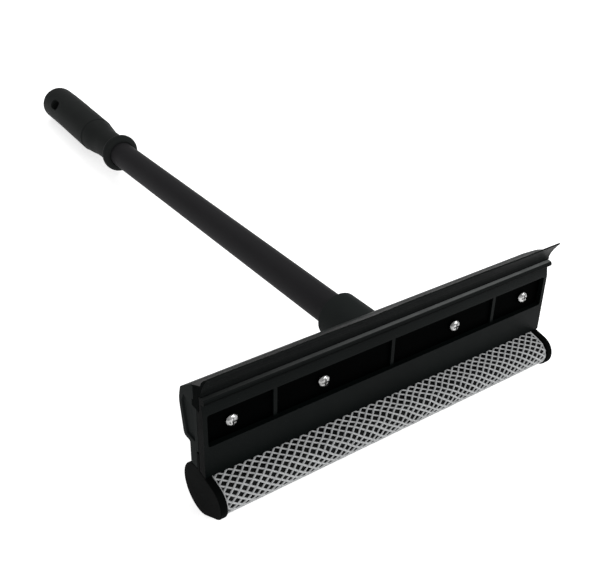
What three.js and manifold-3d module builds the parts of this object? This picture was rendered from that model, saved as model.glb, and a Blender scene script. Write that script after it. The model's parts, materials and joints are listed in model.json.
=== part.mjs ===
// Window squeegee: a rubber wiper blade and a netted foam roll clamped in one head, on a long handle.
// Millimetres. In the tool's own frame X runs along the head, Y from the front plate towards the grip,
// and Z up towards the blade. The handle's axis is at x = 0, z = 0, and the plate's face is at y = 0.
import * as THREE from "three";
import { mergeVertices } from "three/addons/utils/BufferGeometryUtils.js";
import Module from "manifold-3d";

const wasm = await Module();
wasm.setup();

// Fits and fineness
const clearance = 0.3;
const overcut = 1;
const arcSteps = 12;
const cornerSteps = 4;
const roundSides = 40;
const screwSides = 18;

// Head
const headLength = 254;

// Front plate: a thick lower part with a sunk panel that low ribs divide into bays, a foot that hangs lower
// at the front, along the net's slope, and a thin lip with a bead along its top edge
const plateDepth = 6;
const plateLipDepth = 3.4;
const plateLipSetBack = 1.2;
const plateShelfZ = 14.6;
const plateEdgeRadius = 0.6;
const plateFootDrop = 1.4;
const beadRadius = 1.9;
const beadY = 0;
const beadZ = 22.8;
const bayTopZ = 13.3;
const bayBottomZ = -7.5;
const bayDepth = 3.4;
const bayCorner = 1.5;
const endWall = 2.6;
const ribWidth = 2.4;
const ribSetBack = 2;
const endBayLength = 45.2;

// Clamp screws
const screwLineZ = 2.2;
const screwFromEnd = 18.2;
const screwFromRib = 32.4;
const screwHeadRadius = 4;
const screwHeadHeight = 2.6;
const screwShankRadius = 1.9;
const screwShankLength = 13;
const crossWidth = 1;
const crossLength = 4.6;
const crossDepth = 1.3;
const screwPointLength = 1.7;

// A pan head's dome, as shares of the head's radius and height
const panDome = [[0.55, 0.95], [0.85, 0.7], [1, 0.3]];

// Wiper blade: root, foot, and a wedge that thins to the lip
const bladeRootThickness = 5.2;
const bladeFootStep = 1.5;
const bladeFootHeight = 3.8;
const bladeFrontY = 1.1;
const bladeBellyZ = 27;
const bladeHeelY = 11.2;
const bladeNeckY = 0.9;
const bladeNeckZ = 32.6;
const bladeTipY = -4.6;
const bladeTipZ = 39.5;
const bladeTipThickness = 0.9;
const bladeLipSweep = 3.4;

// Head body: back shell, blade jaw and neck
const bodyWall = 3;
const bodyBottomZ = -12;
const bodyBackLowY = 21.4;
const bodyBackY = 25.2;
const bodyBulgeZ = 10;
const bodyBackTopY = 22.8;
const bodyBackTopZ = 19;
const jawTopZ = 27.2;
const jawBackY = 11.8;
const neckBackY = 15;
const neckEdgeRadius = 1;
const neckCornerRadius = 1.5;
const bodyLowRadius = 2.5;
const bodyBulgeRadius = 4;
const bodyTopRadius = 1.2;
const jawEdgeRadius = 1;
const bossRadius = 4.5;
const bodyRibWidth = 3;
const endRecess = 1.2;
const endRecessCorner = 1;

// Handle socket
const socketRadius = 15.3;
const socketEndY = 55;
const socketFloorY = 21.5;
const socketChamfer = 0.8;

// Sponge roll: two wheels that its outline is drawn round, end caps and net
const rollBackY = 9.2;
const rollBackZ = -41.9;
const rollNoseY = -4.9;
const rollNoseZ = -39.8;
const capBackRadius = 15.4;
const capNoseRadius = 10.3;
const capThickness = 4.4;
const capBevel = 0.6;
const netBackRadius = 14.2;
const netNoseRadius = 9.3;
const netBendRadius = 1.2;
const capEarHeight = 11;
const netThickness = 0.8;
const netStrand = 2.6;
const netTailHeight = 12;
const netColumns = 20;
const netRows = 8;

// Handle
const tubeRadius = 10.6;
const tubeWall = 1.2;
const tubeEndY = 438;
const plugLength = 30;
const collarY = 364;
const collarThickness = 9;
const collarRadius = 16;

// Socket screw
const socketScrewY = 40;
const socketScrewHeadRadius = 3.4;
const socketScrewHeadHeight = 2;
const socketScrewRadius = 1.6;
const socketScrewLength = 11;
const socketScrewSeat = 1.4;

// Hand grip
const gripNeckRadius = 12.4;
const gripNeckEndY = 388;
const gripShoulderY = 411;
const gripShoulderStep = 0.6;
const gripHalfWidth = 15.6;
const gripHalfHeight = 15;
const gripDomeY = 497;
const gripDomeLength = 10;
const gripRise = 5;
const gripTaperRings = 5;
const gripBodyRings = 5;
const gripDomeRings = 7;
const hangSlotY = 474.7;
const hangSlotLength = 14;
const hangSlotRadius = 4.3;
const hangSlotTurn = THREE.MathUtils.degToRad(32);

// Sizes worked out from those above
const headHalf = headLength / 2;
const ribX = headHalf - endBayLength;
const screwXs = [screwFromEnd - headHalf, screwFromRib - ribX, ribX - screwFromRib, headHalf - screwFromEnd];
const bodyFrontY = plateDepth + clearance;
const clampGap = 2 * netThickness + 3 * clearance;
const neckFrontY = plateDepth + clampGap;
const skirtBottomZ = rollBackZ + capBackRadius + clearance;
const tailTopZ = skirtBottomZ + netTailHeight;
const rootFrontY = plateLipDepth + clearance;
const rootBackY = rootFrontY + bladeRootThickness;
const footBackY = rootBackY + bladeFootStep;
const footBottomZ = plateShelfZ + clearance;
const footTopZ = footBottomZ + bladeFootHeight;
const cavityFloorY = socketFloorY - bodyWall;
const netHalf = headHalf - capThickness - clearance;
const boreRadius = tubeRadius + clearance;
const tubeStartY = socketFloorY + clearance;
const gripStartY = collarY + collarThickness / 2 + clearance;

// Axes that an outline is drawn out along
const axisX = new THREE.Vector3(1, 0, 0);
const axisY = new THREE.Vector3(0, 1, 0);
const axisZ = new THREE.Vector3(0, 0, 1);
const outAlongX = new THREE.Matrix4().makeBasis(axisY, axisZ, axisX);
const outAlongMinusY = new THREE.Matrix4().makeBasis(axisX, axisZ, axisY.clone().negate());

// Closed geometry to solid, and back
function solid(geometry) {
  geometry.deleteAttribute("normal");
  geometry.deleteAttribute("uv");
  const merged = mergeVertices(geometry);
  const vertProperties = new Float32Array(merged.attributes.position.array);
  const triVerts = new Uint32Array(merged.index.array);
  return new wasm.Manifold(new wasm.Mesh({ numProp: 3, vertProperties, triVerts }));
}

function geometryOf(body) {
  const faces = body.getMesh();
  const geometry = new THREE.BufferGeometry();
  geometry.setAttribute("position", new THREE.BufferAttribute(faces.vertProperties, 3));
  geometry.setIndex(new THREE.BufferAttribute(faces.triVerts, 1));
  geometry.computeVertexNormals();
  return geometry;
}

// An outline through corners [u, v, rounding], each corner eased over its rounding along both edges
function outline(corners) {
  const shape = new THREE.Shape();
  corners.forEach(([u, v, ease], k) => {
    const corner = new THREE.Vector2(u, v);
    const before = corners[(k + corners.length - 1) % corners.length];
    const after = corners[(k + 1) % corners.length];
    const enter = new THREE.Vector2(before[0], before[1]).sub(corner).setLength(ease).add(corner);
    const leave = new THREE.Vector2(after[0], after[1]).sub(corner).setLength(ease).add(corner);
    if (k === 0) shape.moveTo(enter.x, enter.y);
    else shape.lineTo(enter.x, enter.y);
    if (ease > 0) shape.quadraticCurveTo(u, v, leave.x, leave.y);
  });
  return shape;
}

// An outline in Y and Z drawn out along X
function prismX(shape, x0, x1, curveSegments = cornerSteps) {
  const geometry = new THREE.ExtrudeGeometry(shape, { depth: x1 - x0, bevelEnabled: false, curveSegments });
  return geometry.applyMatrix4(outAlongX).translate(x0, 0, 0);
}

// An outline in X and Z drawn out along Y
function prismY(shape, y0, y1) {
  const settings = { depth: y1 - y0, bevelEnabled: false, curveSegments: cornerSteps };
  return new THREE.ExtrudeGeometry(shape, settings).applyMatrix4(outAlongMinusY).translate(0, y1, 0);
}

function block(x0, x1, y0, y1, z0, z1) {
  const geometry = new THREE.BoxGeometry(x1 - x0, y1 - y0, z1 - z0);
  return geometry.translate((x0 + x1) / 2, (y0 + y1) / 2, (z0 + z1) / 2);
}

// A round bar along Y
function barY(radius, y0, y1, x = 0, z = 0, sides = roundSides) {
  const geometry = new THREE.CylinderGeometry(radius, radius, y1 - y0, sides);
  return geometry.translate(x, (y0 + y1) / 2, z);
}

function turned(profile, sides) {
  const points = profile.map(([r, y]) => new THREE.Vector2(r, y));
  return new THREE.LatheGeometry(points, sides);
}

// The bays between the head's end walls and its ribs, as [from, to] along X
function bays(ribXs, wall, rib) {
  const starts = [-headHalf + wall, ...ribXs.map((x) => x + rib / 2)];
  const ends = [...ribXs.map((x) => x - rib / 2), headHalf - wall];
  return starts.map((start, k) => [start, ends[k]]);
}

// Direction of the straight run from one wheel to the next. turn is 1 where the run goes round a wheel
// with the wheel on its left, and -1 with the wheel on its right.
function heading(from, to) {
  const reach = Math.hypot(to.y - from.y, to.z - from.z);
  const lean = Math.atan2(to.z - from.z, to.y - from.y);
  return lean - Math.asin((to.turn * to.r - from.turn * from.r) / reach);
}

function touch(wheel, angle) {
  const side = wheel.turn * wheel.r;
  return { y: wheel.y + side * Math.sin(angle), z: wheel.z - side * Math.cos(angle) };
}

// The closed outline drawn round the roll's two wheels
function rollOutline(noseRadius, backRadius) {
  const nose = { y: rollNoseY, z: rollNoseZ, r: noseRadius, turn: 1 };
  const back = { y: rollBackY, z: rollBackZ, r: backRadius, turn: 1 };
  const under = heading(nose, back) - Math.PI / 2;
  const over = heading(back, nose) - Math.PI / 2;
  const shape = new THREE.Shape();
  shape.absarc(back.y, back.z, back.r, under, over, false);
  shape.absarc(nose.y, nose.z, nose.r, over, under + 2 * Math.PI, false);
  return shape;
}

function frontPlate() {
  const footZ = skirtBottomZ - plateFootDrop;
  const shape = new THREE.Shape();
  shape.moveTo(plateEdgeRadius, footZ);
  shape.lineTo(plateDepth, skirtBottomZ);
  shape.lineTo(plateDepth, plateShelfZ);
  shape.lineTo(plateLipDepth, plateShelfZ);
  shape.lineTo(plateLipDepth, beadZ + beadRadius);
  shape.lineTo(beadY, beadZ + beadRadius);
  shape.absarc(beadY, beadZ, beadRadius, Math.PI / 2, (3 * Math.PI) / 2, false);
  shape.lineTo(plateLipSetBack, beadZ - beadRadius);
  shape.lineTo(0, plateShelfZ);
  const edgeZ = footZ + plateEdgeRadius;
  shape.lineTo(0, edgeZ);
  shape.absarc(plateEdgeRadius, edgeZ, plateEdgeRadius, Math.PI, (3 * Math.PI) / 2, false);
  let plate = solid(prismX(shape, -headHalf, headHalf, arcSteps));
  const sink = (x0, x1, depth) => {
    const bay = outline([
      [x0, bayBottomZ, bayCorner],
      [x1, bayBottomZ, bayCorner],
      [x1, bayTopZ, bayCorner],
      [x0, bayTopZ, bayCorner],
    ]);
    plate = plate.subtract(solid(prismY(bay, -overcut, depth)));
  };
  sink(endWall - headHalf, headHalf - endWall, ribSetBack);
  for (const [x0, x1] of bays([-ribX, 0, ribX], endWall, ribWidth)) sink(x0, x1, bayDepth);
  for (const x of screwXs) {
    const hole = barY(screwShankRadius + clearance, 0, plateDepth + overcut, x, screwLineZ, screwSides);
    plate = plate.subtract(solid(hole));
  }
  return geometryOf(plate);
}

function headBody() {
  const profile = outline([
    [neckFrontY, skirtBottomZ, 0],
    [neckBackY, skirtBottomZ, neckEdgeRadius],
    [neckBackY, bodyBottomZ, neckCornerRadius],
    [bodyBackLowY, bodyBottomZ, bodyLowRadius],
    [bodyBackY, bodyBulgeZ, bodyBulgeRadius],
    [bodyBackTopY, bodyBackTopZ, bodyTopRadius],
    [jawBackY, jawTopZ, jawEdgeRadius],
    [rootBackY + clearance, jawTopZ, 0],
    [rootBackY + clearance, footTopZ + clearance, 0],
    [footBackY + clearance, footTopZ + clearance, 0],
    [footBackY + clearance, plateShelfZ, 0],
    [bodyFrontY, plateShelfZ, 0],
    [bodyFrontY, tailTopZ + clearance, 0],
    [neckFrontY, tailTopZ + clearance, 0],
  ]);
  let body = solid(prismX(profile, -headHalf, headHalf));
  body = body.add(solid(handleSocket()));

  // hollow bays behind the plate, with ribs between them and a boss for each screw
  const ribXs = [-ribX, -ribX / 2, 0, ribX / 2, ribX];
  const cavityBottomZ = bodyBottomZ + bodyWall;
  const cavityTopZ = plateShelfZ - bodyWall;
  for (const [x0, x1] of bays(ribXs, bodyWall, bodyRibWidth)) {
    const bay = block(x0, x1, bodyFrontY - overcut, cavityFloorY, cavityBottomZ, cavityTopZ);
    body = body.subtract(solid(bay));
  }
  for (const x of screwXs) {
    const boss = barY(bossRadius, bodyFrontY, cavityFloorY + overcut, x, screwLineZ, screwSides);
    body = body.add(solid(boss));
  }
  for (const x of screwXs) {
    const tipY = bayDepth + screwShankLength + clearance;
    const pilot = barY(screwShankRadius + clearance, bodyFrontY - overcut, tipY, x, screwLineZ, screwSides);
    body = body.subtract(solid(pilot));
  }

  // a shallow sunk panel in each end face
  const panel = outline([
    [bodyFrontY + bodyWall, bodyBottomZ + bodyWall, endRecessCorner],
    [bodyBackLowY - bodyWall, bodyBottomZ + bodyWall, endRecessCorner],
    [bodyBackY - bodyWall, bodyBulgeZ, endRecessCorner],
    [bodyBackTopY - bodyWall, bodyBackTopZ - bodyWall, endRecessCorner],
    [bodyFrontY + bodyWall, plateShelfZ - bodyWall, endRecessCorner],
  ]);
  body = body.subtract(solid(prismX(panel, headHalf - endRecess, headHalf + overcut)));
  body = body.subtract(solid(prismX(panel, -headHalf - overcut, endRecess - headHalf)));

  // the tube's bore, and the retaining screw's hole and seat on the underside
  body = body.subtract(solid(barY(boreRadius, socketFloorY, socketEndY + overcut)));
  const belowSocket = -socketRadius - overcut;
  const seatFloor = socketScrewSeat - socketRadius;
  const hole = barY(socketScrewRadius + clearance, belowSocket, 0, 0, 0, screwSides);
  const seat = barY(socketScrewHeadRadius + clearance, belowSocket, seatFloor, 0, 0, screwSides);
  body = body.subtract(solid(underSocket(hole)));
  body = body.subtract(solid(underSocket(seat)));
  return geometryOf(body);
}

function handleSocket() {
  const profile = [
    [0, cavityFloorY + overcut],
    [socketRadius, cavityFloorY + overcut],
    [socketRadius, socketEndY - socketChamfer],
    [socketRadius - socketChamfer, socketEndY],
    [0, socketEndY],
  ];
  return turned(profile, roundSides);
}

// Turns a shape along Y to stand up along Z at the socket screw's place
function underSocket(geometry) {
  return geometry.rotateX(Math.PI / 2).translate(0, socketScrewY, 0);
}

function bladeRubber() {
  const lipLean = Math.atan2(bladeTipZ - bladeNeckZ, bladeTipY - bladeNeckY);
  const tipFrontY = bladeTipY - bladeTipThickness * Math.sin(lipLean);
  const tipFrontZ = bladeTipZ + bladeTipThickness * Math.cos(lipLean);
  const shape = new THREE.Shape();
  shape.moveTo(rootFrontY, footBottomZ);
  shape.lineTo(footBackY, footBottomZ);
  shape.lineTo(footBackY, footTopZ);
  shape.lineTo(rootBackY, footTopZ);
  shape.lineTo(rootBackY, jawTopZ + clearance);
  shape.lineTo(bladeHeelY, jawTopZ + clearance);
  shape.lineTo(bladeNeckY, bladeNeckZ);
  shape.quadraticCurveTo(bladeNeckY - bladeTipThickness, bladeNeckZ + bladeLipSweep, bladeTipY, bladeTipZ);
  shape.lineTo(tipFrontY, tipFrontZ);
  const sweepY = bladeFrontY - bladeTipThickness;
  const sweepZ = bladeNeckZ - bladeTipThickness;
  shape.quadraticCurveTo(sweepY, sweepZ, bladeFrontY, bladeBellyZ);
  shape.lineTo(bladeFrontY, beadZ + beadRadius + clearance);
  shape.lineTo(rootFrontY, beadZ + beadRadius + clearance);
  return prismX(shape, -headHalf, headHalf, arcSteps);
}

function endCap(side) {
  const plate = new THREE.ExtrudeGeometry(rollOutline(capNoseRadius - capBevel, capBackRadius - capBevel), {
    depth: capThickness - 2 * capBevel,
    bevelThickness: capBevel,
    bevelSize: capBevel,
    bevelSegments: cornerSteps / 2,
    curveSegments: 2 * arcSteps,
  });
  plate.translate(0, 0, capBevel).applyMatrix4(outAlongX);
  const earTopZ = skirtBottomZ + capEarHeight;
  const ear = block(0, capThickness, bodyFrontY, neckFrontY - clearance, rollBackZ, earTopZ);
  const cap = solid(plate).add(solid(ear));
  return geometryOf(cap).translate(side > 0 ? headHalf - capThickness : -headHalf, 0, 0);
}

// The net's path in Y and Z as straight runs and arcs: down the front tail, round the roll and up the
// back tail
function netPath() {
  const wheels = [
    { y: bodyFrontY, z: tailTopZ, r: 0, turn: 1 },
    { y: bodyFrontY - netBendRadius, z: skirtBottomZ, r: netBendRadius, turn: -1 },
    { y: rollNoseY, z: rollNoseZ, r: netNoseRadius, turn: 1 },
    { y: rollBackY, z: rollBackZ, r: netBackRadius, turn: 1 },
    { y: neckFrontY - clearance + netBendRadius, z: skirtBottomZ, r: netBendRadius, turn: -1 },
    { y: neckFrontY - clearance, z: tailTopZ, r: 0, turn: 1 },
  ];
  const headings = wheels.slice(1).map((wheel, k) => heading(wheels[k], wheel));
  const runs = [];
  headings.forEach((angle, k) => {
    const from = touch(wheels[k], angle);
    const to = touch(wheels[k + 1], angle);
    runs.push({ length: Math.hypot(to.y - from.y, to.z - from.z), from, angle });
    if (k + 1 === headings.length) return;
    const wheel = wheels[k + 1];
    const bend = wheel.turn * (headings[k + 1] - angle);
    const sweep = ((bend % (2 * Math.PI)) + 2 * Math.PI) % (2 * Math.PI);
    runs.push({ length: wheel.r * sweep, wheel, angle });
  });
  return runs;
}

// The point a distance along the net's path, sunk below its outer face
function onNet(runs, distance, sunk) {
  let left = distance;
  let run = runs[0];
  for (run of runs) {
    if (left <= run.length) break;
    left -= run.length;
  }
  left = Math.min(left, run.length);
  const angle = run.wheel ? run.angle + (run.wheel.turn * left) / run.wheel.r : run.angle;
  const ahead = { y: Math.cos(angle) * left, z: Math.sin(angle) * left };
  const at = run.wheel ? touch(run.wheel, angle) : { y: run.from.y + ahead.y, z: run.from.z + ahead.z };
  return { y: at.y - sunk * Math.sin(angle), z: at.z + sunk * Math.cos(angle) };
}

// Distances along the path where the net's diamonds start and end, past each tail and its bend
function netSpan(runs) {
  const total = runs.reduce((sum, run) => sum + run.length, 0);
  const start = runs[0].length + runs[1].length;
  const end = total - runs[runs.length - 1].length - runs[runs.length - 2].length;
  return { start, end, total };
}

function spongeNet() {
  const runs = netPath();
  const { start, end, total } = netSpan(runs);
  const stepX = netHalf / netColumns;
  const stepS = (end - start) / (2 * netRows);
  const reach = (stepX * stepS) / Math.hypot(stepX, stepS);
  const gapShare = 1 - netStrand / 2 / reach;
  const faces = [];

  // a flat polygon of the net's outer face, given by places [x, distance], with its twin on the inner face
  const point = ([x, distance], sunk) => {
    const { y, z } = onNet(runs, distance, sunk);
    return [x, y, z];
  };
  const fan = (corners) => {
    for (let k = 2; k < corners.length; k += 1) faces.push(corners[0], corners[k - 1], corners[k]);
  };
  const skin = (places) => {
    fan(places.map((corner) => point(corner, 0)));
    const [first, ...rest] = places.map((corner) => point(corner, netThickness));
    fan([first, ...rest.reverse()]);
  };
  const wall = (a, b) => {
    fan([point(b, 0), point(a, 0), point(a, netThickness), point(b, netThickness)]);
  };
  const place = ([i, j]) => [i * stepX - netHalf, start + j * stepS];
  const onSheet = ([i, j]) => i >= 0 && i <= 2 * netColumns && j >= 0 && j <= 2 * netRows;

  // diamonds: four strands round each gap, and whole half diamonds along the edges
  for (let i = 0; i <= 2 * netColumns; i += 1) {
    for (let j = 0; j <= 2 * netRows; j += 1) {
      if ((i + j) % 2 === 0) continue;
      const around = [[i - 1, j], [i, j + 1], [i + 1, j], [i, j - 1]];
      if (i === 0 || i === 2 * netColumns) {
        skin(around.map((corner) => place(onSheet(corner) ? corner : [i, j])));
        continue;
      }
      if (j === 0 || j === 2 * netRows) {
        skin(around.filter(onSheet).map(place));
        continue;
      }
      const outer = around.map(place);
      const inner = around.map(([a, b]) => place([i + (a - i) * gapShare, j + (b - j) * gapShare]));
      outer.forEach((corner, k) => {
        const next = (k + 1) % outer.length;
        skin([corner, outer[next], inner[next], inner[k]]);
        wall(inner[next], inner[k]);
      });
    }
  }

  // plain tails, which bend out of the clamp into the roll
  const columnXs = Array.from({ length: netColumns + 1 }, (_, k) => 2 * k * stepX - netHalf);
  const [frontTail, frontBend] = runs;
  const [backBend, backTail] = runs.slice(-2);
  const strips = [
    [0, frontTail.length, start - frontBend.length / 2, start],
    [end, end + backBend.length / 2, total - backTail.length, total],
  ];
  for (const strip of strips) {
    for (let r = 1; r < strip.length; r += 1) {
      for (let c = 1; c < columnXs.length; c += 1) {
        const [x0, x1] = [columnXs[c - 1], columnXs[c]];
        skin([[x0, strip[r - 1]], [x0, strip[r]], [x1, strip[r]], [x1, strip[r - 1]]]);
      }
    }
  }

  // cut edges: both ends along the path, and both tails' rims
  const rollRows = Array.from({ length: 2 * netRows - 1 }, (_, k) => start + (k + 1) * stepS);
  const edge = [...strips[0], ...rollRows, ...strips[1]];
  for (let r = 1; r < edge.length; r += 1) {
    wall([-netHalf, edge[r - 1]], [-netHalf, edge[r]]);
    wall([netHalf, edge[r]], [netHalf, edge[r - 1]]);
  }
  for (let c = 1; c < columnXs.length; c += 1) {
    wall([columnXs[c], 0], [columnXs[c - 1], 0]);
    wall([columnXs[c - 1], total], [columnXs[c], total]);
  }
  const geometry = new THREE.BufferGeometry();
  geometry.setAttribute("position", new THREE.Float32BufferAttribute(faces.flat(), 3));
  const welded = mergeVertices(geometry);
  welded.computeVertexNormals();
  return welded;
}

// The foam keeps clear of the net's flat facets where these cut the corner round the nose
function spongeFoam() {
  const { start, end } = netSpan(netPath());
  const facet = (end - start) / (2 * netRows);
  const cutCorner = (facet * facet) / (8 * (netNoseRadius - netThickness));
  const sunk = netThickness + clearance + cutCorner;
  return prismX(rollOutline(netNoseRadius - sunk, netBackRadius - sunk), -netHalf, netHalf, 2 * arcSteps);
}

// A pan head screw along Y, its head's underside at y = 0 and its shank towards +Y
function panScrew(headRadius, headHeight, shankRadius, shankLength) {
  const profile = [
    [0, -headHeight],
    ...panDome.map(([out, up]) => [out * headRadius, -up * headHeight]),
    [headRadius, 0],
    [shankRadius, 0],
    [shankRadius, shankLength - screwPointLength],
    [0, shankLength],
  ];
  let screw = solid(turned(profile, screwSides));
  const slot = [-crossLength / 2, crossLength / 2];
  const bar = [-crossWidth / 2, crossWidth / 2];
  const floorY = crossDepth - headHeight;
  screw = screw.subtract(solid(block(...slot, -headHeight - overcut, floorY, ...bar)));
  screw = screw.subtract(solid(block(...bar, -headHeight - overcut, floorY, ...slot)));
  return geometryOf(screw);
}

function handleTube() {
  const inside = tubeRadius - tubeWall;
  const profile = [
    [inside, tubeStartY],
    [tubeRadius, tubeStartY],
    [tubeRadius, tubeEndY],
    [inside, tubeEndY],
    [inside, tubeStartY],
  ];
  const hole = barY(socketScrewRadius + clearance, -tubeRadius - overcut, 0, 0, 0, screwSides);
  return geometryOf(solid(turned(profile, roundSides)).subtract(solid(underSocket(hole))));
}

function tubePlug() {
  const radius = tubeRadius - tubeWall - clearance;
  const plug = barY(radius, tubeStartY, tubeStartY + plugLength);
  const tipZ = socketScrewSeat - socketRadius + socketScrewLength + clearance;
  const hole = barY(socketScrewRadius + clearance, -radius - overcut, tipZ, 0, 0, screwSides);
  return geometryOf(solid(plug).subtract(solid(underSocket(hole))));
}

function guardCollar() {
  const half = collarThickness / 2;
  const profile = [[boreRadius, -half], [collarRadius - half, -half]];
  for (let k = 1; k < arcSteps; k += 1) {
    const angle = (k / arcSteps - 0.5) * Math.PI;
    profile.push([collarRadius - half + half * Math.cos(angle), half * Math.sin(angle)]);
  }
  profile.push([collarRadius - half, half], [boreRadius, half], [boreRadius, -half]);
  return turned(profile, roundSides).translate(0, collarY, 0);
}

const ease = (t) => t * t * (3 - 2 * t);

// The height of the grip's middle, which rises along the hand
function gripMiddle(y) {
  const rise = THREE.MathUtils.clamp((y - gripNeckEndY) / (gripDomeY - gripNeckEndY), 0, 1);
  return gripRise * ease(rise);
}

// Sections of the grip along Y: half width, half height and the height of the middle
function gripSections() {
  const section = (y, halfWidth, halfHeight) => ({ y, halfWidth, halfHeight, z: gripMiddle(y) });
  const sections = [section(gripStartY, gripNeckRadius, gripNeckRadius)];
  for (let k = 0; k <= gripTaperRings; k += 1) {
    const share = k / gripTaperRings;
    const y = gripNeckEndY + share * (gripShoulderY - gripNeckEndY);
    const halfWidth = gripNeckRadius + ease(share) * (gripHalfWidth - gripShoulderStep - gripNeckRadius);
    const halfHeight = gripNeckRadius + ease(share) * (gripHalfHeight - gripShoulderStep - gripNeckRadius);
    sections.push(section(y, halfWidth, halfHeight));
  }
  for (let k = 0; k <= gripBodyRings; k += 1) {
    const from = gripShoulderY + gripShoulderStep;
    const y = from + (k / gripBodyRings) * (gripDomeY - from);
    sections.push(section(y, gripHalfWidth, gripHalfHeight));
  }
  for (let k = 1; k <= gripDomeRings; k += 1) {
    const angle = (k / (gripDomeRings + 1)) * (Math.PI / 2);
    const y = gripDomeY + gripDomeLength * Math.sin(angle);
    sections.push(section(y, gripHalfWidth * Math.cos(angle), gripHalfHeight * Math.cos(angle)));
  }
  return sections;
}

// A closed skin over oval sections
function loft(sections, tipY) {
  const positions = [];
  const faces = [];
  for (const { y, z, halfWidth, halfHeight } of sections) {
    for (let k = 0; k < roundSides; k += 1) {
      const angle = (2 * Math.PI * k) / roundSides;
      positions.push(halfWidth * Math.cos(angle), y, z + halfHeight * Math.sin(angle));
    }
  }
  const first = positions.length / 3;
  positions.push(0, sections[0].y, sections[0].z);
  positions.push(0, tipY, gripMiddle(tipY));
  const lastRing = (sections.length - 1) * roundSides;
  for (let k = 0; k < roundSides; k += 1) {
    const next = (k + 1) % roundSides;
    faces.push(first, k, next);
    faces.push(first + 1, lastRing + next, lastRing + k);
    for (let ring = 0; ring < lastRing; ring += roundSides) {
      const above = ring + roundSides;
      faces.push(ring + k, above + k, ring + next);
      faces.push(ring + next, above + k, above + next);
    }
  }
  const geometry = new THREE.BufferGeometry();
  geometry.setAttribute("position", new THREE.Float32BufferAttribute(positions, 3));
  geometry.setIndex(faces);
  return geometry;
}

function handGrip() {
  const tipY = gripDomeY + gripDomeLength;
  let grip = solid(loft(gripSections(), tipY));
  grip = grip.subtract(solid(barY(boreRadius, gripStartY - overcut, tubeEndY + clearance)));

  // a long hang slot goes through the end, turned from level to face up on the left
  const shape = new THREE.Shape();
  const straight = hangSlotLength / 2 - hangSlotRadius;
  shape.absarc(straight, 0, hangSlotRadius, -Math.PI / 2, Math.PI / 2);
  shape.absarc(-straight, 0, hangSlotRadius, Math.PI / 2, 1.5 * Math.PI);
  const past = gripHalfWidth + overcut;
  const slot = prismX(shape, -past, past, arcSteps).rotateY(hangSlotTurn);
  return geometryOf(grip.subtract(solid(slot.translate(0, hangSlotY, gripMiddle(hangSlotY)))));
}

// Finishes
const blackPlastic = { color: 0x1c2020, roughness: 0.42, metalness: 0 };
const gripPlastic = { color: 0x202424, roughness: 0.6, metalness: 0 };
const tubeFinish = { color: 0x262628, roughness: 0.5, metalness: 0 };
const rubber = { color: 0x161818, roughness: 0.7, metalness: 0 };
const foam = { color: 0x0d0e0e, roughness: 0.95, metalness: 0 };
const netYarn = { color: 0xbcc0c0, roughness: 0.6, metalness: 0 };
const brightSteel = { color: 0xd4d6d4, roughness: 0.2, metalness: 1 };

function piece(name, geometry, finish) {
  const mesh = new THREE.Mesh(geometry, new THREE.MeshStandardMaterial(finish));
  mesh.name = name;
  return mesh;
}

const head = new THREE.Group();
head.add(piece("head_body", headBody(), blackPlastic));
head.add(piece("front_plate", frontPlate(), blackPlastic));
head.add(piece("blade_rubber", bladeRubber(), rubber));
head.add(piece("sponge_foam", spongeFoam(), foam));
head.add(piece("sponge_net", spongeNet(), netYarn));
head.add(piece("end_cap_left", endCap(-1), blackPlastic));
head.add(piece("end_cap_right", endCap(1), blackPlastic));
screwXs.forEach((x, k) => {
  const shape = panScrew(screwHeadRadius, screwHeadHeight, screwShankRadius, screwShankLength);
  const screw = piece("clamp_screw_" + (k + 1), shape, brightSteel);
  screw.position.set(x, bayDepth - clearance, screwLineZ);
  head.add(screw);
});

const handle = new THREE.Group();
handle.add(piece("handle_tube", handleTube(), tubeFinish));
handle.add(piece("tube_plug", tubePlug(), blackPlastic));
handle.add(piece("guard_collar", guardCollar(), gripPlastic));
handle.add(piece("hand_grip", handGrip(), gripPlastic));
const socketScrew = piece(
  "socket_screw",
  panScrew(socketScrewHeadRadius, socketScrewHeadHeight, socketScrewRadius, socketScrewLength),
  brightSteel,
);
socketScrew.rotation.x = Math.PI / 2;
socketScrew.position.set(0, socketScrewY, socketScrewSeat - socketRadius - clearance);
handle.add(socketScrew);

// The tool lies at rest on its end caps and its grip, so it leans back until both touch the same level
const tool = new THREE.Group();
tool.add(head, handle);
const lowest = (group) => new THREE.Box3().setFromObject(group, true).min.z;
let leanLeast = 0;
let leanMost = Math.PI / 4;
const leanSteps = 40;
for (let k = 0; k < leanSteps; k += 1) {
  tool.rotation.x = -(leanLeast + leanMost) / 2;
  tool.updateMatrixWorld(true);
  if (lowest(handle) > lowest(head)) leanLeast = -tool.rotation.x;
  else leanMost = -tool.rotation.x;
}

// The part's origin is on the surface that it lies on, under the middle of its box
const squeegee = new THREE.Group();
squeegee.add(tool);
squeegee.updateMatrixWorld(true);
const reach = new THREE.Box3().setFromObject(squeegee, true);
const middle = reach.getCenter(new THREE.Vector3());
tool.position.set(-middle.x, -middle.y, -reach.min.z);

export default squeegee;
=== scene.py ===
import json
import math

import bmesh
import bpy
from mathutils import Matrix, Vector


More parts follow.
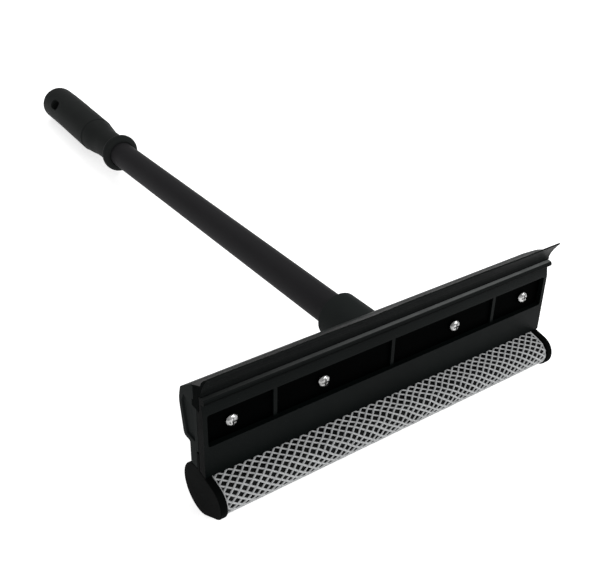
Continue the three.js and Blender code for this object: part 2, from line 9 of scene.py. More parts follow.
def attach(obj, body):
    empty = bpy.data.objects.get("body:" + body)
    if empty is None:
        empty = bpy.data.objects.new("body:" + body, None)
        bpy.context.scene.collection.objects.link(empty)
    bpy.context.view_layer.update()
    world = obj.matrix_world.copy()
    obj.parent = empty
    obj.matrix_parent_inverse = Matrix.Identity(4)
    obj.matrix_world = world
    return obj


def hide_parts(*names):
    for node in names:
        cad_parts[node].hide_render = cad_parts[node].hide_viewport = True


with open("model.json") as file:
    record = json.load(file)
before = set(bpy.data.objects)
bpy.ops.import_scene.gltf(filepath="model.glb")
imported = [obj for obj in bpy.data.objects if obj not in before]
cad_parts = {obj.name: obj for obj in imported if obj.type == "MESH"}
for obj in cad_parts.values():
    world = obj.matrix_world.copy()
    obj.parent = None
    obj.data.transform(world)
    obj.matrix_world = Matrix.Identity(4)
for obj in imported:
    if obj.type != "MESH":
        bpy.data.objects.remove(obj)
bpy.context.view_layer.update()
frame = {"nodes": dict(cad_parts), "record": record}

scene = bpy.context.scene
print("frame loaded with", len(frame["nodes"]), "solids")

# The tool leans back on its grip. New pieces are modelled in the tool's own frame, in millimetres:
# x along the head, y = 0 on the front plate's face, z = 0 on the handle's axis. The plate's mount tells
# how that frame lies.
metre = 1000  # in millimetres
plateMount = next(mount for mount in frame["record"]["mounts"] if mount["name"] == "plate_face")
plateMountZ = -16.5  # the mount's height in the tool's own frame
lean = math.atan2(plateMount["axis"][2], -plateMount["axis"][1])
toolTurn = Matrix.Rotation(-lean, 4, "X")
toolShift = Vector(plateMount["pos_m"]) - toolTurn @ Vector((0, 0, plateMountZ / metre))
toolFrame = Matrix.Translation(toolShift) @ toolTurn @ Matrix.Scale(1 / metre, 4)


# Selecting and editing

facing = 0.9  # a face looks along an axis when its normal has this share of it
lengthways = (0, math.pi / 2, 0)  # turns a primitive's axis along the head


def activate(piece):
    bpy.ops.object.select_all(action="DESELECT")
    piece.select_set(True)
    bpy.context.view_layer.objects.active = piece


def startEdit(piece, kind):
    activate(piece)
    bpy.ops.object.mode_set(mode="EDIT")
    bpy.ops.mesh.select_mode(type=kind)
    bpy.ops.mesh.select_all(action="DESELECT")


def stopEdit():
    bpy.ops.object.mode_set(mode="OBJECT")


def pick(piece, kind, test):
    bpy.ops.mesh.select_all(action="DESELECT")
    shape = bmesh.from_edit_mesh(piece.data)
    for part in {"VERT": shape.verts, "EDGE": shape.edges}[kind]:
        if test(part):
            part.select_set(True)
    shape.select_flush_mode()
    bmesh.update_edit_mesh(piece.data)


def spanX(edge):
    return abs(edge.verts[0].co.x - edge.verts[1].co.x)


def newest(name):
    piece = bpy.context.view_layer.objects.active
    piece.name = name
    piece.data.name = name
    return piece


def modify(piece, kind, settings):
    activate(piece)
    made = piece.modifiers.new(kind.lower(), kind)
    for key, value in settings.items():
        setattr(made, key, value)
    bpy.ops.object.modifier_apply(modifier=made.name)


def settle(piece, finish, slot, *nodes):
    # a finished piece wears its finish, rides with the tool and stands for its solids
    piece.data.materials.clear()
    piece.data.materials.append(finish)
    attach(piece, "root")
    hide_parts(*nodes)


# Finishes

class Wire:
    # a socket of one material's node tree, which sums and products can be written with

    def __init__(self, tree, socket=None):
        self.tree = tree
        self.socket = socket

    def node(self, kind, settings={}, sockets={}, out=0):
        made = self.tree.nodes.new(kind)
        for key, value in settings.items():
            setattr(made, key, value)
        for key, value in sockets.items():
            if isinstance(value, Wire):
                self.tree.links.new(value.socket, made.inputs[key])
            else:
                made.inputs[key].default_value = value
        return Wire(self.tree, made.outputs[out]) if made.outputs else None

    def maths(self, operation, first, second):
        return self.node("ShaderNodeMath", {"operation": operation}, {0: first, 1: second})

    def __add__(self, other):
        return self.maths("ADD", self, other)

    def __radd__(self, other):
        return self.maths("ADD", other, self)

    def __sub__(self, other):
        return self.maths("SUBTRACT", self, other)

    def __rsub__(self, other):
        return self.maths("SUBTRACT", other, self)

    def __mul__(self, other):
        return self.maths("MULTIPLY", self, other)

    def __rmul__(self, other):
        return self.maths("MULTIPLY", other, self)

    def __pow__(self, other):
        return self.maths("POWER", self, other)

    def __rpow__(self, other):
        return self.maths("POWER", other, self)


# In the looks a pattern is (scale, detail) or (scale, detail, roughness), and a bump is (height in metres,
# strength). A name ending in Gloss tells how far a pattern moves the roughness.
patternMiddle = 0.5


def startFinish(name):
    finish = bpy.data.materials.new(name)
    finish.use_nodes = True
    finish.node_tree.nodes.clear()
    return finish, Wire(finish.node_tree)


def place(paint, stretch=(1, 1, 1), turn=(0, 0, 0)):
    coords = paint.node("ShaderNodeTexCoord", out="Object")
    return paint.node("ShaderNodeMapping", {}, {"Vector": coords, "Scale": stretch, "Rotation": turn})


def noise(paint, where, scale, detail, rough=0.55):
    sockets = {"Vector": where, "Scale": scale, "Detail": detail, "Roughness": rough}
    return paint.node("ShaderNodeTexNoise", {}, sockets)


def sway(pattern, amount):
    return amount * (pattern - patternMiddle)


def mark(paint, name):
    return paint.node("ShaderNodeAttribute", {"attribute_name": name}, {}, "Fac")


def blendColour(paint, share, first, second):
    # the Mix node's colours are its sockets 6 and 7, and its output 2
    return paint.node("ShaderNodeMix", {"data_type": "RGBA"}, {0: share, 6: first, 7: second}, 2)


def shade(level, tint=(1, 1, 1)):
    return (level * tint[0], level * tint[1], level * tint[2], 1)


def darkToLight(paint, share, look):
    return blendColour(paint, share, shade(look["dark"], look["tint"]), shade(look["light"], look["tint"]))


def rise(paint, height, distance, strength):
    sockets = {"Height": height, "Distance": distance, "Strength": strength}
    return paint.node("ShaderNodeBump", {}, sockets)


def surface(paint, sockets):
    shader = paint.node("ShaderNodeBsdfPrincipled", {}, sockets)
    paint.node("ShaderNodeOutputMaterial", {}, {"Surface": shader})


def twoSurfaces(paint, share, first, second):
    usual = paint.node("ShaderNodeBsdfPrincipled", {}, first)
    marked = paint.node("ShaderNodeBsdfPrincipled", {}, second)
    mixed = paint.node("ShaderNodeMixShader", {}, {0: share, 1: usual, 2: marked})
    paint.node("ShaderNodeOutputMaterial", {}, {"Surface": mixed})


plateLook = {"dark": 0.0014, "light": 0.0034, "tint": (0.6, 1.0, 0.95), "rough": 0.4, "sheen": 0.036,
             "grain": (1500, 2, 0.5)}
shellLook = {"dark": 0.015, "light": 0.022, "tint": (0.88, 1.0, 0.98), "rough": 0.5, "sheen": 0.007,
             "grain": (1500, 2, 0.5)}
capLook = {"dark": 0.0015, "light": 0.003, "tint": (0.85, 1.0, 0.98), "rough": 0.6, "sheen": 0.007,
           "grain": (1200, 2, 0.5)}
gripLook = {"dark": 0.011, "light": 0.0165, "tint": (0.9, 1.0, 0.98), "rough": 0.58, "sheen": 0.03,
            "grain": (950, 2, 0.5)}
moulding = {"tone": (22, 4), "rubbedOrHighlit": (75, 3), "grainGloss": 0.16, "rubbedGloss": 0.14,
            "bump": (0.00006, 0.35)}
shadedDullShares = {"tone": 0.2, "rough": 1.6, "sheen": 0.15}  # painted shade and a duller finish on marked faces, as shares of the open ones
# painted highlight on the bead's top: a pale tone, patchy, and stronger towards one end of the head
beadHighlight = {"tone": 0.19, "tint": (0.96, 1.0, 0.99), "even": 0.55, "patchy": 0.6,
        "from": -0.125, "full": 0.035, "least": 0.12}  # from and full are places along the head, in metres


def mouldedPlastic(name, look):
    # black moulded plastic: slow changes of tone, a fine grain and rubbed spots that are glossier; some
    # marked faces get painted shade and a duller finish, and others a painted highlight
    finish, paint = startFinish(name)
    where = place(paint)
    tone = noise(paint, where, *moulding["tone"])
    grain = noise(paint, where, *look["grain"])
    rubbedOrHighlit = noise(paint, where, *moulding["rubbedOrHighlit"])
    shadedDull = mark(paint, "shadedDull")
    soilOrHighlight = mark(paint, "soilOrHighlight")
    plain = darkToLight(paint, tone, look)
    # marked faces are darkened towards a fraction of the dark tone: painted shade
    deep = blendColour(paint, shadedDull, plain, shade(shadedDullShares["tone"] * look["dark"], look["tint"]))
    # painted highlight: marked faces on the bead's top turn pale, patchily and more towards one end of the
    # head
    headX = paint.node("ShaderNodeSeparateXYZ", {}, {0: where}, "X")
    highlightToOneEnd = paint.node("ShaderNodeMapRange", {"clamp": True}, {  # the painted highlight is stronger towards one end of the head
        "Value": headX, "From Min": beadHighlight["from"], "From Max": beadHighlight["full"],
        "To Min": beadHighlight["least"], "To Max": 1.0})
    paintedHighlight = soilOrHighlight * highlightToOneEnd * (beadHighlight["even"] + beadHighlight["patchy"] * rubbedOrHighlit)
    colour = blendColour(paint, paintedHighlight, deep, shade(beadHighlight["tone"], beadHighlight["tint"]))
    rough = look["rough"] + sway(grain, moulding["grainGloss"]) + sway(rubbedOrHighlit, moulding["rubbedGloss"])
    bump = rise(paint, grain, *moulding["bump"])
    openFace = {"Base Color": colour, "Roughness": rough, "Normal": bump,
                "Specular IOR Level": look["sheen"]}
    shadedDullFace = {"Base Color": colour, "Roughness": shadedDullShares["rough"] * rough, "Normal": bump,
                "Specular IOR Level": shadedDullShares["sheen"] * look["sheen"]}
    twoSurfaces(paint, shadedDull, openFace, shadedDullFace)
    return finish


tubeLook = {
    "dark": 0.015, "light": 0.021, "tint": (1.0, 0.98, 1.05), "rough": 0.5, "sheen": 0.018,
    "stretch": (900, 14, 900), "streaks": (1, 3), "grain": (1300, 2), "tone": (30, 3),
    "toneShare": 0.5, "streakShare": 0.5, "grainGloss": 0.18, "streakGloss": 0.1,
    "grainHeight": 0.6, "streakHeight": 0.4, "bump": (0.00005, 0.4),
}


def coatedTube(name, look):
    # matt coat on a drawn tube, with faint streaks along it
    finish, paint = startFinish(name)
    streaks = noise(paint, place(paint, look["stretch"], (lean, 0, 0)), *look["streaks"])
    grain = noise(paint, place(paint), *look["grain"])
    tone = noise(paint, place(paint), *look["tone"])
    colour = darkToLight(paint, look["toneShare"] * tone + look["streakShare"] * streaks, look)
    rough = look["rough"] + sway(grain, look["grainGloss"]) + sway(streaks, look["streakGloss"])
    relief = look["grainHeight"] * grain + look["streakHeight"] * streaks
    bump = rise(paint, relief, *look["bump"])
    surface(paint, {"Base Color": colour, "Roughness": rough, "Normal": bump,
                    "Specular IOR Level": look["sheen"]})
    return finish


bladeLook = {
    "dark": 0.0021, "light": 0.0042, "tint": (0.82, 1.0, 0.98), "rough": 0.46, "sheen": 0.038,
    "stretch": (6, 1600, 1600), "lines": (1, 2), "lineGloss": 0.2, "bump": (0.00012, 0.5),
    "bloom": (160, 5, 0.65), "bloomTone": 0.0105, "bloomShare": 0.45, "bloomPower": 3, "bloomGloss": 0.2,
    "cutRough": 0.8, "cutSheen": 0.1,
}


def wiperRubber(name, look):
    # dull rubber with fine lines along the extrusion, a little grey bloom and duller cut ends
    finish, paint = startFinish(name)
    lines = noise(paint, place(paint, look["stretch"], (lean, 0, 0)), *look["lines"])
    bloom = noise(paint, place(paint), *look["bloom"])
    colour = darkToLight(paint, lines, look)
    dust = look["bloomShare"] * bloom ** look["bloomPower"]
    dusty = blendColour(paint, dust, colour, shade(look["bloomTone"], look["tint"]))
    rough = look["rough"] + sway(lines, look["lineGloss"]) + sway(bloom, look["bloomGloss"])
    bump = rise(paint, lines, *look["bump"])
    face = {"Base Color": dusty, "Roughness": rough, "Normal": bump, "Specular IOR Level": look["sheen"]}
    # cut ends are duller and keep the plain colour without bloom, a touch of painted shade
    cutEnd = {"Base Color": colour, "Roughness": look["cutRough"],
              "Specular IOR Level": look["cutSheen"] * look["sheen"]}
    twoSurfaces(paint, mark(paint, "shadedDull"), face, cutEnd)
    return finish


foamLook = {"deep": 0.002, "wall": 0.011, "wallTint": (0.92, 1, 1), "cell": 700, "fine": (2400, 2),
            "fineShare": 0.3, "rough": 0.95, "sheen": 0.1, "bump": (0.0004, 0.8)}


def openFoam(name, look):
    # open cells: dark pores between thin walls
    finish, paint = startFinish(name)
    where = place(paint)
    pores = {"Vector": where, "Scale": look["cell"]}
    cells = paint.node("ShaderNodeTexVoronoi", {"feature": "F1"}, pores)
    fine = noise(paint, where, *look["fine"])
    walls = cells + sway(fine, look["fineShare"])
    colour = blendColour(paint, walls, shade(look["deep"]), shade(look["wall"], look["wallTint"]))
    bump = rise(paint, walls, *look["bump"])
    surface(paint, {"Base Color": colour, "Roughness": look["rough"], "Normal": bump,
                    "Specular IOR Level": look["sheen"]})
    return finish


netLook = {
    "shadow": 0.18, "yarn": 0.39, "bright": 0.65, "tint": (0.97, 0.99, 1.0), "rough": 0.62, "sheen": 0.35,
    "lengths": (210, 3, 0.6), "fibres": (1800, 3, 0.6), "fibreShade": 0.55,
    "soil": (60, 4, 0.6), "soilTint": (1, 0.99, 0.96), "soilShade": 0.35, "soilPower": 2,
    "fibreHeight": 0.7, "lengthHeight": 0.3, "bump": (0.00025, 0.7),
}


def netYarn(name, look):
    # pale twisted yarn: fibres, brighter and greyer lengths, and soiled places
    finish, paint = startFinish(name)
    where = place(paint)
    lengths = noise(paint, where, *look["lengths"])
    fibres = noise(paint, where, *look["fibres"])
    soil = noise(paint, where, *look["soil"])
    pale = blendColour(paint, lengths, shade(look["yarn"], look["tint"]), shade(look["bright"], look["tint"]))
    yarn = blendColour(paint, look["fibreShade"] * (1 - fibres), pale, shade(look["shadow"], look["tint"]))
    soiled = look["soilShade"] * soil ** look["soilPower"]
    soilOrHighlight = blendColour(paint, soiled, yarn, shade(look["shadow"], look["soilTint"]))
    relief = look["fibreHeight"] * fibres + look["lengthHeight"] * lengths
    bump = rise(paint, relief, *look["bump"])
    surface(paint, {"Base Color": soilOrHighlight, "Roughness": look["rough"], "Normal": bump,
                    "Specular IOR Level": look["sheen"]})
    return finish


steelLook = {"bright": 0.6, "dull": 0.08, "tint": (1, 1, 0.99), "rough": 0.16, "cloud": (260, 2),
             "contrast": 2.2, "cloudGloss": 0.1, "scuffs": (1600, 4, 0.65), "scuffGloss": 0.14,
             "bump": (0.00002, 0.3)}


def platedSteel(name, look):
    # bright plating with dull patches and faint scuffs
    finish, paint = startFinish(name)
    where = place(paint)
    scuffs = noise(paint, where, *look["scuffs"])
    cloud = noise(paint, where, *look["cloud"])
    patches = patternMiddle + sway(cloud, look["contrast"])
    colour = blendColour(paint, patches, shade(look["dull"]), shade(look["bright"], look["tint"]))
    rough = look["rough"] + sway(scuffs, look["scuffGloss"]) + sway(cloud, look["cloudGloss"])
    bump = rise(paint, scuffs, *look["bump"])
    surface(paint, {"Base Color": colour, "Roughness": rough, "Normal": bump, "Metallic": 1.0})
    return finish


platePlastic = mouldedPlastic("platePlastic", plateLook)
shellPlastic = mouldedPlastic("shellPlastic", shellLook)
capPlastic = mouldedPlastic("capPlastic", capLook)
gripPlastic = mouldedPlastic("gripPlastic", gripLook)
tubeCoat = coatedTube("tubeCoat", tubeLook)
bladeRubber = wiperRubber("bladeRubber", bladeLook)
rollFoam = openFoam("rollFoam", foamLook)
rollYarn = netYarn("rollYarn", netLook)
screwSteel = platedSteel("screwSteel", steelLook)
print("finishes made")


# Moulded and turned pieces: copies of the solids, with sharp edges eased where there is room

hardPieces = {
    "headShell": {"node": "head_body", "ease": 0, "slot": "head_plastic", "finish": shellPlastic},
    "clampPlate": {"node": "front_plate", "ease": 0.35, "slot": "head_plastic", "finish": platePlastic},
    "endPlateLeft": {"node": "end_cap_left", "ease": 0.2, "slot": "head_plastic", "finish": capPlastic},
    "endPlateRight": {"node": "end_cap_right", "ease": 0.2, "slot": "head_plastic", "finish": capPlastic},
    "handleTube": {"node": "handle_tube", "ease": 0.2, "slot": "tube_coat", "finish": tubeCoat},
    "tubePlug": {"node": "tube_plug", "ease": 0.2, "slot": "head_plastic", "finish": shellPlastic},
    "guardCollar": {"node": "guard_collar", "ease": 0.25, "slot": "grip_plastic", "finish": gripPlastic},
    "handGrip": {"node": "hand_grip", "ease": 0.4, "slot": "grip_plastic", "finish": gripPlastic},
    "socketScrew": {"node": "socket_screw", "ease": 0.1, "slot": "screw_steel", "finish": screwSteel},
}
clampScrews = 4
for count in range(1, clampScrews + 1):
    hardPieces["clampScrew%d" % count] = {
        "node": "clamp_screw_%d" % count, "ease": 0.1, "slot": "screw_steel", "finish": screwSteel}

# weld and sliver are in millimetres, flat, sharp and smooth in degrees, and room is in eases
easing = {"weld": 0.06, "sliver": 0.03, "flat": 0.4, "sharp": 38, "room": 2.05, "steps": 2,
          "smooth": 45, "weight": 60}


def easeEdges(name, made):
    ease = made["ease"] / metre
    piece = bpy.data.objects.new(name, frame["nodes"][made["node"]].data.copy())
    scene.collection.objects.link(piece)
    startEdit(piece, "EDGE")
    bpy.ops.mesh.customdata_custom_splitnormals_clear()
    bpy.ops.mesh.select_all(action="SELECT")
    bpy.ops.mesh.remove_doubles(threshold=easing["weld"] / metre)
    bpy.ops.mesh.dissolve_degenerate(threshold=easing["sliver"] / metre)
    bpy.ops.mesh.dissolve_limited(angle_limit=math.radians(easing["flat"]))

    def free(edge):  # a sharp edge that no very short one meets, so that the bevel has room
        near = min(other.calc_length() for end in edge.verts for other in end.link_edges)
        sharp = edge.calc_face_angle(0) > math.radians(easing["sharp"])
        return sharp and near > easing["room"] * ease

    if ease:
        pick(piece, "EDGE", free)
        bpy.ops.mesh.bevel(offset=ease, segments=easing["steps"], affect="EDGES", clamp_overlap=False)
    stopEdit()
    activate(piece)
    bpy.ops.object.shade_smooth_by_angle(angle=math.radians(easing["smooth"]))
    modify(piece, "WEIGHTED_NORMAL", {"keep_sharp": True, "weight": easing["weight"]})
    settle(piece, made["finish"], made["slot"], made["node"])
    return piece


bay = {"depth": 3.4, "slack": 0.3}
# the bead's underside gets painted shade and a duller finish, and faces on its top that look upwards get a
# painted highlight
bead = {"low": 14.8, "high": 23.0, "under": 0.1, "shaded": 0.7, "highlightFrom": 0.8, "highlightFull": 0.97}
# the plate's two ends are duller and get painted shade
plateEnd = {"from": 126.0, "dull": 0.8}


def markPlate(piece):
    # marks for the finish: the floors of the plate's bays, the underside of its bead and its two ends are
    # dull and get painted shade, and the bead's top gets a painted highlight
    shadedDull = piece.data.attributes.new("shadedDull", "FLOAT", "FACE")
    soilOrHighlight = piece.data.attributes.new("soilOrHighlight", "FLOAT", "FACE")
    toTool = toolFrame.inverted()
    untilt = toolTurn.to_3x3().inverted()
    for face in piece.data.polygons:
        at = toTool @ face.center
        way = untilt @ face.normal
        # dull sets both the duller finish and the painted shade of a face
        dull = 0.0
        if abs(way.x) > facing and abs(at.x) > plateEnd["from"]:
            dull = plateEnd["dull"]
        elif way.y < -facing and abs(at.y - bay["depth"]) < bay["slack"]:
            dull = 1.0
        elif way.z < bead["under"] and bead["low"] < at.z < bead["high"] and at.y < 0:
            dull = bead["shaded"]
        # painted highlight on the faces of the bead's top that look upwards
        rubbedOrHighlit = (way.z - bead["highlightFrom"]) / (bead["highlightFull"] - bead["highlightFrom"])
        shadedDull.data[face.index].value = dull
        soilOrHighlight.data[face.index].value = max(0.0, min(1.0, rubbedOrHighlit)) if at.z > bead["high"] else 0.0


shellEnd = {"from": 0.12, "dull": 0.3}  # from is in metres


def markShell(piece):
    # the shell's two flat ends are duller than its faces and get a little painted shade
    shadedDull = piece.data.attributes.new("shadedDull", "FLOAT", "FACE")
    for face in piece.data.polygons:
        atEnd = abs(face.normal.x) > facing and abs(face.center.x) > shellEnd["from"]
        shadedDull.data[face.index].value = shellEnd["dull"] if atEnd else 0.0


for pieceName, made in hardPieces.items():
    piece = easeEdges(pieceName, made)
    if pieceName == "clampPlate":
        markPlate(piece)
    if pieceName == "headShell":
        markShell(piece)
print("moulded and turned pieces made:", len(hardPieces))


# Wiper blade: one extrusion, drawn as an outline in y and z and pulled along the head

blade = {
    "half": 127.0, "startRadius": 20,
    "root": [(3.7, 14.9), (10.4, 14.9), (10.4, 18.7), (8.9, 18.7), (8.9, 27.5), (11.2, 27.5)],
    "neck": (0.9, 32.6), "backSweep": (0.0, 36.0), "tipBack": (-4.6, 39.5),
    "tipFront": (-5.3, 38.94), "frontSweep": (0.2, 31.7), "belly": (1.1, 27.0),
    "seat": [(1.1, 25.0), (3.7, 25.0)],
    "steps": 14, "ridge": 0.1, "ridges": 4, "slices": 64, "smooth": 32,
    "lipFrom": 31, "lipHeight": 8, "lipWave": 0.25,
    "waves": [(1.0, 0.043, 0.0), (0.6, 0.11, 1.3)],  # share, pace along the head and start
}


def bow(start, pull, end, steps):
    points = []
    for k in range(steps + 1):
        t = k / steps
        weights = ((1 - t) ** 2, 2 * t * (1 - t), t * t)
        points.append(tuple(sum(w * v for w, v in zip(weights, axis)) for axis in zip(start, pull, end)))
    return points


def bladeOutline():
    frontSteps = 2 * blade["steps"]
    outline = list(blade["root"])
    outline += bow(blade["neck"], blade["backSweep"], blade["tipBack"], blade["steps"])
    front = bow(blade["tipFront"], blade["frontSweep"], blade["belly"], frontSteps)
    for k, (y, z) in enumerate(front):  # shallow ridges run along the front and grow downwards
        share = k / frontSteps
        swell = math.sin(share * blade["ridges"] * 2 * math.pi) * share
        outline.append((y - blade["ridge"] * max(0, swell), z))
    return outline + blade["seat"]


def makeBlade():
    outline = bladeOutline()
    bpy.ops.object.select_all(action="DESELECT")
    bpy.ops.mesh.primitive_circle_add(vertices=len(outline), radius=blade["startRadius"], fill_type="NGON",
                                      rotation=lengthways)
    piece = newest("wiperBlade")
    bpy.ops.object.transform_apply(location=True, rotation=True, scale=True)
    for vert, (y, z) in zip(piece.data.vertices, outline):
        vert.co = (-blade["half"], y, z)
    startEdit(piece, "FACE")
    bpy.ops.mesh.select_all(action="SELECT")
    bpy.ops.mesh.extrude_region_move(TRANSFORM_OT_translate={"value": (2 * blade["half"], 0, 0)})
    bpy.ops.mesh.select_mode(type="EDGE")
    pick(piece, "EDGE", lambda edge: spanX(edge) > blade["half"])
    bpy.ops.mesh.subdivide(number_cuts=blade["slices"])
    bpy.ops.mesh.select_all(action="SELECT")
    bpy.ops.mesh.normals_make_consistent(inside=False)
    stopEdit()
    for vert in piece.data.vertices:  # the thin lip is never quite straight
        share = max(0.0, min(1.0, (vert.co.z - blade["lipFrom"]) / blade["lipHeight"])) ** 2
        wave = sum(part * math.sin(vert.co.x * pace + start) for part, pace, start in blade["waves"])
        vert.co.y += blade["lipWave"] * share * wave
    cut = piece.data.attributes.new("shadedDull", "FLOAT", "FACE")  # the saw-cut ends are dull and lack the grey bloom: a touch of painted shade
    for face in piece.data.polygons:
        cut.data[face.index].value = 1.0 if abs(face.normal.x) > facing else 0.0
    piece.data.transform(toolFrame)
    activate(piece)
    bpy.ops.object.shade_smooth_by_angle(angle=math.radians(blade["smooth"]))
    settle(piece, bladeRubber, "blade_rubber", "blade_rubber")


makeBlade()
print("wiper blade made")


# Foam roll and its net share one outline, drawn round two wheels: a nose and a larger back

roll = {"nose": (-4.9, -39.8), "noseRadius": 9.3, "back": (9.2, -41.9), "backRadius": 14.2, "half": 122.1}
foam = {"under": 1.3, "sides": 96, "slices": 70, "slack": 0.01, "rim": 2.0, "rimSteps": 4, "smooth": 60,
        "lumps": 7.0, "lumpMiddle": 0.7, "lumpHeight": 0.45}


def makeFoam():
    backRadius = roll["backRadius"] - foam["under"]
    noseRadius = roll["noseRadius"] - foam["under"]
    middle = (0, roll["back"][0], roll["back"][1])
    bpy.ops.object.select_all(action="DESELECT")
    bpy.ops.mesh.primitive_cylinder_add(vertices=foam["sides"], radius=backRadius, depth=2 * roll["half"],
                                        location=middle, rotation=lengthways)
    piece = newest("foamRoll")
    bpy.ops.object.transform_apply(location=True, rotation=True, scale=True)
    startEdit(piece, "VERT")
    pick(piece, "VERT", lambda vert: vert.co.y < middle[1] - foam["slack"])  # the front half becomes the nose
    share = noseRadius / backRadius
    bpy.ops.transform.resize(value=(1, share, share), center_override=middle)
    bpy.ops.transform.translate(value=(0, roll["nose"][0] - middle[1], roll["nose"][1] - middle[2]))
    bpy.ops.mesh.select_mode(type="EDGE")
    pick(piece, "EDGE", lambda edge: edge.verts[0].co.x * edge.verts[1].co.x > 0)  # the two rims
    bpy.ops.mesh.bevel(offset=foam["rim"], segments=foam["rimSteps"], affect="EDGES")
    pick(piece, "EDGE", lambda edge: spanX(edge) > roll["half"])
    bpy.ops.mesh.subdivide(number_cuts=foam["slices"])
    stopEdit()
    lumps = bpy.data.textures.new("foamLumps", "CLOUDS")
    lumps.noise_scale = foam["lumps"]
    modify(piece, "DISPLACE", {"texture": lumps, "texture_coords": "LOCAL",
                               "mid_level": foam["lumpMiddle"], "strength": foam["lumpHeight"]})
    piece.data.transform(toolFrame)
    activate(piece)
    bpy.ops.object.shade_smooth_by_angle(angle=math.radians(foam["smooth"]))
    settle(piece, rollFoam, "foam", "sponge_foam")


makeFoam()
print("foam roll made")


net = {
    "columns": 40, "rows": 26, "tailTop": -14.2, "bendZ": -26.2, "bendRadius": 1.2, "level": 1e-5,
    "frontTailY": 6.3, "backTailY": 8.2, "strand": 1.3, "under": 0.68, "loose": 0.34,
    # the strands' slack along the head and round the roll: share, paces along u and v, and start
    "wavesX": [(1.0, 37, 23, 0), (0.9, 131, -83, 0)],
    "wavesRound": [(1.0, 29, -31, 1), (0.9, 97, 109, 0)],
}


def heading(start, end):
    reach = math.hypot(end[0] - start[0], end[1] - start[1])
    slope = math.atan2(end[1] - start[1], end[0] - start[0])
    return slope - math.asin((end[2] - start[2]) / reach)


def touch(wheel, angle):
    return wheel[0] + wheel[2] * math.sin(angle), wheel[1] - wheel[2] * math.cos(angle)


def netRuns():
    # straight runs and arcs of the net's outer face, from the front tail round the roll to the back tail;
    # a wheel is (y, z, radius), with a radius below zero where the net bends the other way
    bend = net["bendRadius"]
    wheels = [
        (net["frontTailY"], net["tailTop"], 0),
        (net["frontTailY"] - bend, net["bendZ"], -bend),
        (*roll["nose"], roll["noseRadius"]),
        (*roll["back"], roll["backRadius"]),
        (net["backTailY"] + bend, net["bendZ"], -bend),
        (net["backTailY"], net["tailTop"], 0),
    ]
    angles = [heading(a, b) for a, b in zip(wheels, wheels[1:])]
    runs = []
    for k, angle in enumerate(angles):
        start = touch(wheels[k], angle)
        end = touch(wheels[k + 1], angle)
        runs.append((math.dist(start, end), angle, start, None))
        if k + 1 < len(angles):
            wheel = wheels[k + 1]
            sweep = (math.copysign(1, wheel[2]) * (angles[k + 1] - angle)) % (2 * math.pi)
            runs.append((abs(wheel[2]) * sweep, angle, None, wheel))
    return runs


def onNet(runs, distance, under):
    left = distance
    for run in runs:
        length, angle, start, wheel = run
        if left <= length or run is runs[-1]:
            break
        left -= length
    if wheel:
        angle += left / wheel[2]
        y, z = touch(wheel, angle)
    else:
        y, z = start[0] + left * math.cos(angle), start[1] + left * math.sin(angle)
    return y - under * math.sin(angle), z + under * math.cos(angle)


def slack(u, v, waves):
    inside = (1 - u * u) * (1 - v * v)
    wave = sum(share * math.sin(paceU * u + paceV * v + start) for share, paceU, paceV, start in waves)
    return net["loose"] * inside * wave


def makeNet():
    runs = netRuns()
    total = sum(run[0] for run in runs)
    bpy.ops.object.select_all(action="DESELECT")
    bpy.ops.mesh.primitive_grid_add(x_subdivisions=net["columns"], y_subdivisions=net["rows"], size=2)
    piece = newest("scrubNet")
    startEdit(piece, "FACE")
    bpy.ops.mesh.select_all(action="SELECT")
    bpy.ops.mesh.poke()
    bpy.ops.mesh.select_mode(type="EDGE")

    def straight(edge):  # the grid's own lines go, and leave the diamonds
        across = edge.verts[0].co - edge.verts[1].co
        return min(abs(across.x), abs(across.y)) < net["level"] and not edge.is_boundary

    pick(piece, "EDGE", straight)
    bpy.ops.mesh.dissolve_edges(use_verts=False)
    stopEdit()
    for vert in piece.data.vertices:  # the grid, from -1 to 1 both ways, is wrapped round the roll
        u, v = vert.co.x, vert.co.y
        y, z = onNet(runs, (v + 1) / 2 * total + slack(u, v, net["wavesRound"]), net["under"])
        vert.co = (u * roll["half"] + slack(u, v, net["wavesX"]), y, z)
    modify(piece, "WIREFRAME", {"thickness": net["strand"], "offset": 0.0, "use_even_offset": True,
                                "use_boundary": True, "use_replace": True})
    startEdit(piece, "FACE")
    bpy.ops.mesh.select_all(action="SELECT")
    bpy.ops.mesh.normals_make_consistent(inside=False)
    stopEdit()
    piece.data.transform(toolFrame)
    activate(piece)
    bpy.ops.object.shade_smooth()
    settle(piece, rollYarn, "net", "sponge_net")
    print("net triangles", sum(len(face.vertices) - 2 for face in piece.data.polygons))


makeNet()
print("net made")


# Floor, light and camera

white = shade(1)
stage = {"reach": 8.0, "sides": 128, "tone": 0.85, "rough": 0.9, "glow": 0.66, "sky": 0.6}


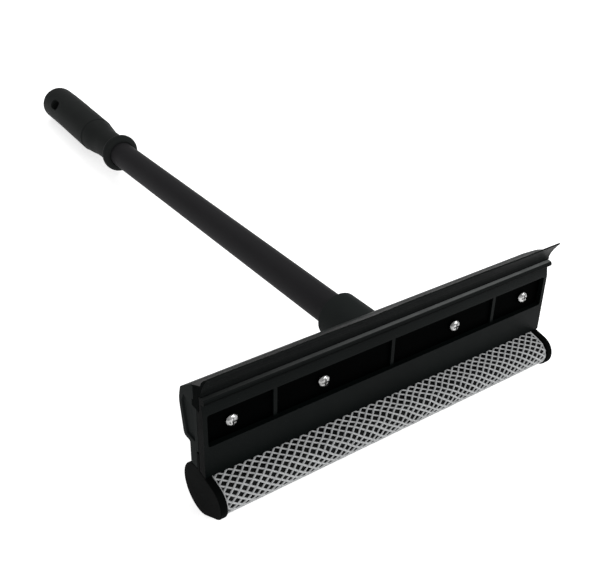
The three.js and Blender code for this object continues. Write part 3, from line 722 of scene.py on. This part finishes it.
def makeFloor():
    bpy.ops.object.select_all(action="DESELECT")
    bpy.ops.mesh.primitive_circle_add(vertices=stage["sides"], radius=stage["reach"], fill_type="NGON")
    floor = newest("paleFloor")
    finish, paint = startFinish("paleFloor")
    surface(paint, {"Base Color": shade(stage["tone"]), "Roughness": stage["rough"],
                    "Specular IOR Level": 0.0, "Emission Color": white, "Emission Strength": stage["glow"]})
    floor.data.materials.append(finish)
    world = bpy.data.worlds.new("studio")
    world.use_nodes = True
    sky = world.node_tree.nodes["Background"].inputs
    sky["Color"].default_value = white
    sky["Strength"].default_value = stage["sky"]
    scene.world = world


softBoxes = {
    "topStrip": {"at": (0.9, -1.35, 1.6), "aim": (0.05, -0.2, 0), "size": (1.7, 0.35), "watts": 18},
    "backBox": {"at": (0.4, 1.5, 1.4), "aim": (0, 0, 0.05), "size": (1.2, 0.8), "watts": 5},
    "frontFill": {"at": (1.2, -1.4, 0.7), "aim": (0, -0.2, 0.05), "size": (0.9, 0.5), "watts": 4},
}


def makeLights():
    for name, box in softBoxes.items():
        light = bpy.data.lights.new(name, "AREA")
        light.shape = "RECTANGLE"
        light.size, light.size_y = box["size"]
        light.energy = box["watts"]
        lamp = bpy.data.objects.new(name, light)
        lamp.location = box["at"]
        aim = Vector(box["aim"]) - Vector(box["at"])
        lamp.rotation_euler = aim.to_track_quat("-Z", "Y").to_euler()
        scene.collection.objects.link(lamp)


camera = {  # place and directions in the tool's own frame
    "at": (-290.94, -307.48, 298.49),
    "right": (0.81632, -0.57734, 0.01722),
    "up": (0.28401, 0.42718, 0.85840),
    "back": (-0.50294, -0.69584, 0.51269),
    "lens": 53.264, "sensor": 36, "clip": (0.02, 60),
}


def makeCamera():
    data = bpy.data.cameras.new("photoCamera")
    data.sensor_width = camera["sensor"]
    data.lens = camera["lens"]
    data.clip_start, data.clip_end = camera["clip"]
    holder = bpy.data.objects.new("photoCamera", data)
    scene.collection.objects.link(holder)
    sight = Matrix((camera["right"], camera["up"], camera["back"])).transposed().to_4x4()
    holder.matrix_world = Matrix.Translation(toolFrame @ Vector(camera["at"])) @ toolTurn @ sight
    scene.camera = holder


makeFloor()
makeLights()
makeCamera()
scene.view_settings.view_transform = "Standard"
print("stage set")
